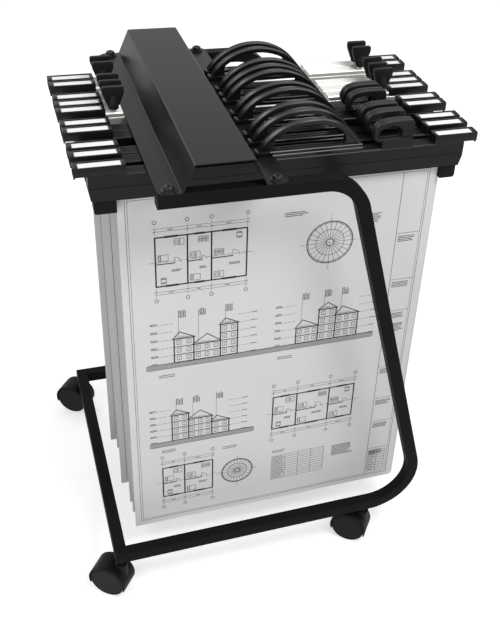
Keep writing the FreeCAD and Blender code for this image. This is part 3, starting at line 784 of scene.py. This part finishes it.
class RACK_OT_paddles(bpy.types.Operator):
    """Model the jaw bars and thumb paddles of the rear five binders"""
    bl_idname = "rack.paddles"
    bl_label = "Thumb Paddles"

    places = (92.0, 619.0)
    blade = ((-20.0, 902.0), (-20.0, 890.0), (-10.5, 866.0), (10.5, 866.0), (20.0, 890.0), (20.0, 902.0))
    blade_thick = 8.0
    waist_z = 880.0                 # the blade's edges across y above it are rounded more
    boss = (
        (859.0, 6.5), (859.4, 8.2), (860.6, 9.3), (862.5, 9.6), (869.0, 9.6), (874.0, 8.2), (880.0, 6.2),
        (886.0, 4.2), (889.0, 3.0))     # height and radius
    jaw_section = (
        (-12.5, BAR_LOW), (-12.5, 821.2), (-8.0, 821.2), (-8.0, 826.5), (-6.5, 829.9), (-5.0, 826.5),
        (-5.0, 821.2), (-2.5, 821.2), (-2.5, 806.0), (-0.5, 804.0), (-0.5, BAR_LOW))
    mitre_z = 817.0                 # each end of the jaw is cut back in a slope that meets it here
    mitre = (25.0, 7.0)             # normal of the slope
    tab = ((-4.0, 4.0), (-2.0, 2.0), (826.0, 861.0))

    def paddle(self, bm, x, y):
        """A wide blade that narrows into a round boss, with a cone on both faces between the two."""
        part = bmesh.new()
        face = face_of(part, [(x + dx, y - self.blade_thick / 2.0, z) for dx, z in self.blade])
        draw_out(part, [face], (0.0, self.blade_thick, 0.0))
        bmesh.ops.recalc_face_normals(part, faces=part.faces)
        uprights = [
            e for e in part.edges
            if abs(e.verts[0].co.y - e.verts[1].co.y) > 1.0 and e.verts[0].co.z > self.waist_z]
        round_edges(part, uprights, 3.5, 4)
        round_edges(part, sharp_edges(part, 60.0), 1.2, 3)
        add(bm, part)
        part = bmesh.new()
        profile = [part.verts.new((x + r, y, z)) for z, r in self.boss]
        edges = [part.edges.new(pair) for pair in zip(profile, profile[1:])]
        bmesh.ops.spin(
            part, geom=profile + edges, cent=(x, y, 0.0), axis=(0.0, 0.0, 1.0), angle=math.tau,
            steps=40, use_merge=True, use_duplicate=False)
        bmesh.ops.holes_fill(part, edges=part.edges, sides=0)
        add(bm, part)

    def jaw_bar(self, bm, y):
        face = face_of(bm, [(BAR_ENDS[0], y + dy, z) for dy, z in self.jaw_section])
        draw_out(bm, [face], (BAR_ENDS[1] - BAR_ENDS[0], 0.0, 0.0))
        bmesh.ops.recalc_face_normals(bm, faces=bm.faces)
        for end, way in ((BAR_ENDS[0], 1.0), (BAR_ENDS[1], -1.0)):
            cut = bmesh.ops.bisect_plane(
                bm, geom=list(bm.verts) + list(bm.edges) + list(bm.faces), dist=0.001,
                plane_co=(end, y, self.mitre_z), plane_no=(-way * self.mitre[0], 0.0, -self.mitre[1]),
                clear_outer=True)
            rim = [g for g in cut["geom_cut"] if isinstance(g, bmesh.types.BMEdge)]
            bmesh.ops.holes_fill(bm, edges=rim, sides=0)
        (x0, x1), sides, height = self.tab
        for x in self.places:
            across(bm, y + HINGE_Y, ((x + x0, x + x1), sides, height), 0.6)

    def execute(self, context):
        plastic = soft_rubber("paddle_plastic", context.scene.rack_finish.rubber, 0.495)
        pale = bpy.data.materials["clear_anodised"]
        for binder in BINDERS:
            if binder.has_lever:
                continue
            bm = bmesh.new()
            self.jaw_bar(bm, binder.y)
            node = [binder.body + "_jaw"]
            finished("jaw_bar_" + binder.tag, bm, binder.jaw, pale, node)
            for side, x in zip(("_left", "_right"), self.places):
                bm = bmesh.new()
                self.paddle(bm, x, binder.y + HINGE_Y)
                name = "paddle_" + binder.tag + side
                finished(name, bm, binder.jaw, plastic, node)
        return {"FINISHED"}


# ---------------------------------------------------------------- drawings
class Plan:
    """The strokes of one drawing, in millimetres from the sheet's lower left corner."""

    stroke = 15.0               # lines are split into pieces this long or up to twice as long
    ring_step = 15.0            # degrees between two corners of a ring
    wall, partition, facade, ground_line = 2.7, 2.0, 2.4, 1.6       # widths of the firm lines

    def __init__(self, seed):
        self.chance = random.Random(seed)
        self.strokes = []

    def line(self, u0, v0, u1, v1, width=0.8, tone="ink"):
        """A line in short pieces, so that it can follow the leaf's wave."""
        reach = math.hypot(u1 - u0, v1 - v0)
        count = max(1, int(reach / self.stroke))
        for i in range(count):
            a, b = i / count, (i + 1) / count
            self.strokes.append((
                u0 + (u1 - u0) * a, v0 + (v1 - v0) * a, u0 + (u1 - u0) * b, v0 + (v1 - v0) * b, width, tone))

    def dashes(self, u0, v0, u1, v1, dash=9.0, gap=4.0, width=0.6):
        reach = math.hypot(u1 - u0, v1 - v0)
        du, dv = (u1 - u0) / reach, (v1 - v0) / reach
        at = 0.0
        while at < reach:
            end = min(at + dash, reach)
            self.line(u0 + du * at, v0 + dv * at, u0 + du * end, v0 + dv * end, width)
            at = end + gap

    def box(self, u0, v0, u1, v1, width=0.8):
        for a, b in (((u0, v0), (u1, v0)), ((u1, v0), (u1, v1)), ((u1, v1), (u0, v1)), ((u0, v1), (u0, v0))):
            self.line(*a, *b, width)

    def ring(self, u, v, radius, width=0.8, first=0.0, last=360.0):
        steps = max(6, int(abs(last - first) / self.ring_step))
        spots = arc((u, v), radius, first, last, steps)
        for a, b in zip(spots, spots[1:]):
            self.line(*a, *b, width)

    def note(self, u, v, rows, reach, pitch=3.6, upright=False):
        """Rows of short strokes that stand for small writing without being any."""
        for row in range(rows):
            at = 0.0
            while at < reach * (0.7 + 0.3 * self.chance.random()):
                end = min(at + 2.0 + 6.0 * self.chance.random(), reach)
                if upright:
                    self.line(u + row * pitch, v + at, u + row * pitch, v + end, 1.4)
                else:
                    self.line(u + at, v - row * pitch, u + end, v - row * pitch, 1.4)
                at = end + 1.5

    def furnish(self, u, v, kind):
        """A piece of furniture about 18 by 13, as a plan shows it."""
        if kind == 0:
            self.box(u + 4.0, v + 3.0, u + 14.0, v + 10.0, 0.7)
            for du in (5.5, 9.0, 12.5):
                self.ring(u + du, v + 1.0, 1.4, 0.6)
                self.ring(u + du, v + 12.0, 1.4, 0.6)
        elif kind == 1:
            self.box(u, v, u + 18.0, v + 13.0, 0.7)
            self.line(u + 5.0, v, u + 5.0, v + 13.0, 0.6)
            self.box(u + 1.0, v + 2.0, u + 4.0, v + 11.0, 0.6)
        elif kind == 2:
            self.box(u, v, u + 9.0, v + 13.0, 0.7)
            self.ring(u + 4.5, v + 6.5, 3.2, 0.7)
            self.box(u + 11.0, v, u + 18.0, v + 13.0, 0.7)
        else:
            for i in range(8):
                self.line(u + i * 2.5, v, u + i * 2.5, v + 13.0, 0.8)
            self.line(u, v + 6.5, u + 18.0, v + 6.5, 0.6)

    def floor_plan(self, u, v, bays, depth):
        """A row of rooms with doors and furniture, seen from above."""
        left = u
        split = v + depth * 0.46
        for number, wide in enumerate(bays):
            self.box(left, v, left + wide, v + depth, self.wall)
            self.line(left, split, left + wide * 0.6, split, self.partition)
            self.ring(left + wide * 0.6, split, wide * 0.2, 0.6, 0.0, 90.0)
            self.line(left + wide * 0.6, split, left + wide * 0.6, split + wide * 0.2, 0.7)
            self.furnish(left + 5.0, v + 5.0, number % 4)
            self.furnish(left + 5.0, split + 6.0, (number + 1) % 4)
            self.furnish(left + wide - 24.0, v + depth - 19.0, (number + 2) % 4)
            self.note(left + wide * 0.5, v + depth * 0.32, 2, wide * 0.3, 3.0)
            for v0 in (v, v + depth):
                self.line(left + wide * 0.3, v0 + 1.8, left + wide * 0.7, v0 + 1.8, 0.6)
                self.line(left + wide * 0.3, v0 - 1.8, left + wide * 0.7, v0 - 1.8, 0.6)
            left += wide
        self.dashes(u - 12.0, v + depth / 2.0, left + 14.0, v + depth / 2.0)
        self.measure(u, v - 12.0, bays, -1.0)
        self.measure(u, v + depth + 12.0, bays, 1.0)

    def measure(self, u, v, bays, way):
        """Two dimension chains along a plan, with axis marks beyond them."""
        whole = sum(bays)
        for row in (0.0, 6.0):
            self.line(u - 4.0, v + way * row, u + whole + 4.0, v + way * row, 0.5)
        at = u
        for wide in (0.0,) + tuple(bays):
            at += wide
            self.dashes(at, v - way * 8.0, at, v + way * 16.0, 5.0, 2.0, 0.5)
            self.line(at - 1.5, v - 1.5, at + 1.5, v + 1.5, 0.8)
            self.ring(at, v + way * 19.5, 3.4, 0.9)
            if wide:
                self.note(at - wide * 0.6, v + way * 2.5, 1, 8.0)

    def terrace(self, u, v, bays, storeys, storey):
        """Gabled houses standing in a row on the ground, with windows, levels and notes."""
        left = u
        for number, wide in enumerate(bays):
            top = v + storeys[number] * storey
            self.box(left, v, left + wide, top, self.facade)
            peak = left + wide * (0.5 if number % 2 else 0.28)
            self.line(left - 3.0, top, peak, top + wide * 0.42, 1.7)
            self.line(peak, top + wide * 0.42, left + wide + 3.0, top, 1.7)
            self.line(left + 3.0, top + 3.0, left + wide - 3.0, top + 3.0, 0.6)
            for level in range(storeys[number]):
                low = v + level * storey
                self.line(left, low, left + wide, low, self.ground_line)
                count = 2 if wide < 44.0 else 3
                for i in range(count):
                    at = left + wide * (i + 0.5) / count
                    self.box(at - 4.0, low + storey * 0.3, at + 4.0, low + storey * 0.8, 0.8)
                    self.line(at, low + storey * 0.3, at, low + storey * 0.8, 0.5)
            for i in range(6):
                at = left + wide * 0.1 * i + 3.0
                self.line(at, top + 3.0, at, top + 7.0, 0.5)
            left += wide
        for level in range(max(storeys) + 2):
            at = v + level * storey
            self.dashes(u - 34.0, at, u, at, 6.0, 2.5, 0.5)
            self.dashes(left, at, left + 26.0, at, 6.0, 2.5, 0.5)
            self.note(u - 44.0, at + 3.0, 2, 12.0, 3.0)
            self.note(left + 27.0, at + 1.0, 1, 12.0, 3.0)
        above = v + (max(storeys) + 1.6) * storey
        for i in range(len(bays)):
            at = u + sum(bays[:i]) + 9.0
            self.line(at, v + storeys[i] * storey + 8.0, at, above, 0.5)
            self.note(at + 1.0, above, 5, 16.0, 3.0, True)

    def stair(self, u, v, radius):
        """A spiral stair with its treads."""
        for share, width in ((1.0, 1.8), (0.94, 0.6), (0.62, 0.8), (0.16, 1.4)):
            self.ring(u, v, radius * share, width)
        for i in range(24):
            turn = math.tau * i / 24.0
            out = Vector((math.cos(turn), math.sin(turn)))
            a, b = out * radius * 0.16, out * radius
            self.line(u + a.x, v + a.y, u + b.x, v + b.y, 0.7)
        self.dashes(u - radius * 1.3, v, u + radius * 1.3, v)
        self.dashes(u, v - radius * 1.3, u, v + radius * 1.3)

    def schedule(self, u, v, columns, rows, wide, high):
        """A ruled table with a short stroke of writing in each row."""
        for i in range(columns + 1):
            self.line(u + i * wide, v, u + i * wide, v + rows * high, 0.6)
        for i in range(rows + 1):
            self.line(u, v + i * high, u + columns * wide, v + i * high, 0.6)
        for row in range(rows):
            self.note(u + 2.0, v + (row + 0.5) * high, 1, wide - 5.0)

    def ground(self, u, v, reach):
        """A toned band with a firm edge that the houses stand on."""
        self.line(u, v - 6.0, u + reach, v - 6.0, 11.0, "wash")
        self.line(u, v, u + reach, v, self.ground_line)
        self.line(u, v - 12.0, u + reach, v - 12.0, 0.6)

    def sheet(self, wide, long):
        """Border, title strip up the right edge, and the drawings."""
        top = long - 50.0
        self.box(13.0, 13.0, wide - 13.0, top + 14.0, 0.7)
        self.box(17.0, 17.0, wide - 17.0, top + 10.0, 0.5)
        strip = wide - 66.0
        self.line(strip, 17.0, strip, top + 10.0, 0.8)
        for v in (96.0, 178.0, 246.0, 335.0, 482.0, 560.0, 668.0):
            self.line(strip, v, wide - 17.0, v, 0.6)
            self.note(strip + 5.0, v - 7.0, 4, 34.0)
        self.note(strip + 6.0, 448.0, 7, 38.0, 3.2)
        self.schedule(strip + 4.0, 24.0, 2, 8, 20.0, 8.0)
        self.ground(40.0, 436.0, 462.0)
        self.terrace(92.0, 436.0, (38.0, 52.0, 34.0), (3, 2, 4), 19.0)
        self.terrace(336.0, 436.0, (46.0, 36.0, 48.0), (2, 4, 3), 19.0)
        self.floor_plan(62.0, 618.0, (58.0, 44.0, 66.0), 104.0)
        self.stair(392.0, 668.0, 46.0)
        self.note(452.0, 720.0, 6, 40.0)
        self.note(300.0, 742.0, 3, 44.0)
        self.ground(40.0, 232.0, 214.0)
        self.terrace(84.0, 232.0, (34.0, 48.0, 36.0), (4, 3, 2), 17.0)
        self.floor_plan(296.0, 214.0, (52.0, 72.0, 56.0), 88.0)
        self.floor_plan(62.0, 74.0, (46.0, 60.0), 84.0)
        self.stair(222.0, 112.0, 34.0)
        self.schedule(300.0, 62.0, 4, 10, 30.0, 7.0)
        self.note(440.0, 128.0, 9, 50.0)
        for u, v in ((62.0, 408.0), (300.0, 408.0), (62.0, 208.0), (190.0, 188.0), (300.0, 148.0)):
            self.note(u, v, 2, 30.0, 4.6)


HUNG = 812.0                    # length of a leaf below the bars
WAVE_ALONG = 0.004              # steps through the noise for each millimetre along a leaf
WAVE_DOWN = 0.0032              # and down it
PACK_STEP = 0.37                # from one pack to the next
LEAF_STEP = 3.7                 # from one leaf to the next
LEAF_START = 9.0                # from a pack's shared wave to its first leaf's own
SHARED_WAVE = 2.8               # most that a whole pack swings at its foot
OWN_WAVE = 0.5                  # most that one leaf swings beside it
FAN = 1.3                       # how much further apart two leaves hang at their foot


def hang(point, leaf, pack):
    """How a leaf hangs: flat in the clamp, with a slow wave and a slight fan towards its foot."""
    drop = max(0.0, (BAR_LOW - point.z) / HUNG)
    spot = Vector((point.x * WAVE_ALONG, point.z * WAVE_DOWN, pack * PACK_STEP))
    shared = noise.noise(spot)
    own = noise.noise(spot + Vector((0.0, 0.0, leaf * LEAF_STEP + LEAF_START)))
    lean = (leaf - 0.5) * FAN
    return Vector((0.0, drop ** 1.4 * (shared * SHARED_WAVE + own * OWN_WAVE + lean), 0.0))


class RACK_OT_drawings(bpy.types.Operator):
    """Hang the leaves of each pack and plot a plan on its front leaf"""
    bl_idname = "rack.drawings"
    bl_label = "Drawings"

    gap = 0.02                      # between two leaves, and before the first
    ink_thick = 0.3
    ink_lift = 0.06                 # middle of the ink, in front of the first leaf
    fine_grid = (40, 56)            # faces of a front leaf along and down
    plain_grid = (18, 26)
    plan_seed = 7
    pack_seed = 40
    slip, slip_chance = 1.5, 1.4    # sideways, for each leaf behind the first
    droop, droop_chance = 0.25, 0.6     # and down

    def leaf(self, bm, sizes, corner, number, pack):
        """One sheet of paper with its wave, in front of the leaves with a higher number."""
        wide, long, thick = mm(sizes.wide), mm(sizes.long), mm(sizes.thick)
        upright = Matrix.Rotation(math.radians(90.0), 4, "X")
        along, down = self.plain_grid if number else self.fine_grid
        bmesh.ops.create_grid(bm, x_segments=along, y_segments=down, size=0.5, matrix=upright)
        bmesh.ops.scale(bm, vec=(wide, 1.0, long), verts=bm.verts)
        middle = corner + Vector((wide / 2.0, 0.0, long / 2.0))
        bmesh.ops.translate(bm, vec=middle, verts=bm.verts)
        draw_out(bm, list(bm.faces), (0.0, thick, 0.0))
        for v in bm.verts:
            v.co += hang(v.co, number, pack)

    def ink(self, strokes):
        """Strokes as thin raised bars, measured from the sheet's lower left corner."""
        bm = bmesh.new()
        for u0, v0, u1, v1, width, _ in strokes:
            reach = math.hypot(u1 - u0, v1 - v0) + width * 0.5
            turn = Matrix.Rotation(-math.atan2(v1 - v0, u1 - u0), 4, "Y")
            place = Matrix.Translation(((u0 + u1) / 2.0, 0.0, (v0 + v1) / 2.0))
            size = Matrix.Diagonal((reach, self.ink_thick, width, 1.0))
            bmesh.ops.create_cube(bm, size=1.0, matrix=place @ turn @ size)
        return bm

    def execute(self, context):
        paint = context.scene.rack_finish
        sizes = context.scene.rack_sheet
        paper = plotter_paper("plotter_paper", paint.paper)
        tones = {
            "ink": plotter_ink("plotter_ink", paint.ink),
            "wash": plotter_ink("plotter_wash", paint.wash)}
        step = mm(sizes.thick) + self.gap
        plan = Plan(self.plan_seed)
        plan.sheet(mm(sizes.wide), mm(sizes.long))
        plots = {tone: self.ink([s for s in plan.strokes if s[5] == tone]) for tone in tones}
        for index, binder in enumerate(BINDERS):
            front = binder.sheet_low.y + self.gap
            chance = random.Random(self.pack_seed + index)
            for number in range(sizes.leaves + (1 if index == 0 else 0)):
                corner = Vector((binder.sheet_low.x, front + number * step, binder.sheet_low.z))
                if number:
                    corner.x += number * self.slip + chance.uniform(-self.slip_chance, self.slip_chance)
                    corner.z -= number * self.droop + chance.uniform(0.0, self.droop_chance)
                bm = bmesh.new()
                self.leaf(bm, sizes, corner, number, index)
                name = "drawing_" + binder.tag + "_leaf_" + str(number + 1)
                finished(
                    name, bm, binder.body, paper, [binder.body + "_sheets"])
            corner = Vector((binder.sheet_low.x, front - self.ink_lift, binder.sheet_low.z))
            for tone, material in tones.items():
                bm = plots[tone].copy()
                for v in bm.verts:
                    v.co += corner
                    v.co += hang(v.co, 0, index)
                name = "drawing_" + binder.tag + "_" + tone
                finished(
                    name, bm, binder.body, material, smooth=20.0, tidy=False)
        return {"FINISHED"}


# ---------------------------------------------------------------- stage
class RACK_OT_stage(bpy.types.Operator):
    """Set the floor, soft lights and camera"""
    bl_idname = "rack.stage"
    bl_label = "Stage"

    eye = (-124.5, -1295.9, 1588.1)
    turn = (55.413, -3.953, -19.188)
    focal = 943.0               # pixels
    middle = (320.0, 287.0)     # the axis in the picture, pixels
    picture = (500.0, 618.0)
    sensor = 36.0
    floor_half = 6.0
    floor_grey = (0.82, 0.82, 0.82)
    floor_glow = 0.49
    sky_light = 0.6
    aim = (0.0, 0.0, 0.6)       # the lamps' common target
    lamps = (                   # name, place, size and power in watts
        ("key", (0.7, -1.4, 2.75), (0.8, 0.8), 28.0),
        ("fill", (-2.1, -1.5, 1.4), (1.6, 1.6), 13.0),
        ("back", (-1.0, 2.0, 2.3), (1.0, 0.8), 10.0))

    def camera(self, scene):
        lens = bpy.data.cameras.new("camera")
        longest = max(self.picture)
        lens.sensor_fit = "AUTO"
        lens.sensor_width = self.sensor
        lens.lens = self.focal * lens.sensor_width / longest
        lens.shift_x = (self.picture[0] / 2.0 - self.middle[0]) / longest
        lens.shift_y = (self.middle[1] - self.picture[1] / 2.0) / longest
        lens.clip_start = 0.05
        lens.clip_end = 50.0
        camera = bpy.data.objects.new("camera", lens)
        camera.location = TO_FRAME @ Vector(self.eye)
        camera.rotation_euler = [math.radians(a) for a in self.turn]
        scene.collection.objects.link(camera)
        scene.camera = camera

    def floor(self, scene):
        """A pale floor that the lamps shade and that glows for the rays that meet the backdrop."""
        bm = bmesh.new()
        bmesh.ops.create_grid(bm, x_segments=1, y_segments=1, size=self.floor_half)
        mesh = bpy.data.meshes.new("floor")
        bm.to_mesh(mesh)
        bm.free()
        floor = bpy.data.objects.new("floor", mesh)
        finish = Finish("floor_white", Base_Color=self.floor_grey, Roughness=0.9, Specular_IOR_Level=0.0)
        plain = finish.shader.outputs[0]
        glow = finish.make("ShaderNodeEmission", None, {"Color": WHITE, "Strength": self.floor_glow})
        lit = finish.make("ShaderNodeAddShader", None, {0: plain, 1: glow.outputs[0]})
        mixed = finish.make("ShaderNodeMixShader", None, {
            0: finish.sees_backdrop(), 1: plain, 2: lit.outputs[0]})
        finish.feed(finish.tree.nodes["Material Output"].inputs["Surface"], mixed.outputs[0])
        mesh.materials.append(finish.material)
        scene.collection.objects.link(floor)

    def lamp(self, scene, name, place, size, power):
        light = bpy.data.lights.new(name, "AREA")
        light.shape = "RECTANGLE"
        light.size, light.size_y = size
        light.energy = power
        lamp = bpy.data.objects.new(name, light)
        lamp.location = place
        lamp.rotation_euler = (Vector(self.aim) - Vector(place)).to_track_quat("-Z", "Y").to_euler()
        scene.collection.objects.link(lamp)

    def sky(self, scene):
        """Soft light from all round, with a white backdrop."""
        world = bpy.data.worlds.new("sky")
        world.use_nodes = True
        nodes = Nodes(world.node_tree)
        soft = nodes.tree.nodes["Background"]
        nodes.feed(soft.inputs["Color"], WHITE)
        nodes.feed(soft.inputs["Strength"], self.sky_light)
        backdrop = nodes.make("ShaderNodeBackground", None, {"Color": WHITE})
        mixed = nodes.make("ShaderNodeMixShader", None, {
            0: nodes.sees_backdrop(), 1: soft.outputs[0], 2: backdrop.outputs[0]})
        nodes.feed(nodes.tree.nodes["World Output"].inputs["Surface"], mixed.outputs[0])
        scene.world = world

    def execute(self, context):
        scene = context.scene
        scene.view_settings.view_transform = "Standard"
        self.camera(scene)
        self.floor(scene)
        self.sky(scene)
        for name, place, size, power in self.lamps:
            self.lamp(scene, name, place, size, power)
        return {"FINISHED"}


# ---------------------------------------------------------------- the add-on
SETTINGS = {
    "rack_finish": RackFinishSettings,
    "rack_grip": RackGripSettings,
    "rack_tray": RackTraySettings,
    "rack_sheet": RackSheetSettings,
}
OPERATORS = (
    RACK_OT_frame, RACK_OT_castors, RACK_OT_bars, RACK_OT_grips, RACK_OT_trays, RACK_OT_edge_stops,
    RACK_OT_levers, RACK_OT_paddles, RACK_OT_drawings, RACK_OT_stage)


class RACK_PT_panel(bpy.types.Panel):
    """Lists the rack's settings and operators"""
    bl_idname = "RACK_PT_panel"
    bl_label = "Plan Rack"
    bl_space_type = "VIEW_3D"
    bl_region_type = "UI"
    bl_category = "Plan Rack"

    def draw(self, context):
        for name in SETTINGS:
            group = getattr(context.scene, name)
            box = self.layout.box()
            for setting in group.__annotations__:
                box.prop(group, setting)
        for operator in OPERATORS:
            self.layout.operator(operator.bl_idname)


CLASSES = tuple(SETTINGS.values()) + OPERATORS + (RACK_PT_panel,)


def register():
    for kind in CLASSES:
        bpy.utils.register_class(kind)
    for name, kind in SETTINGS.items():
        setattr(bpy.types.Scene, name, PointerProperty(type=kind))


def unregister():
    for name in SETTINGS:
        delattr(bpy.types.Scene, name)
    for kind in reversed(CLASSES):
        bpy.utils.unregister_class(kind)


def main():
    register()
    for operator in OPERATORS:
        group, name = operator.bl_idname.split(".")
        getattr(getattr(bpy.ops, group), name)()


if __name__ == "__main__":
    main()
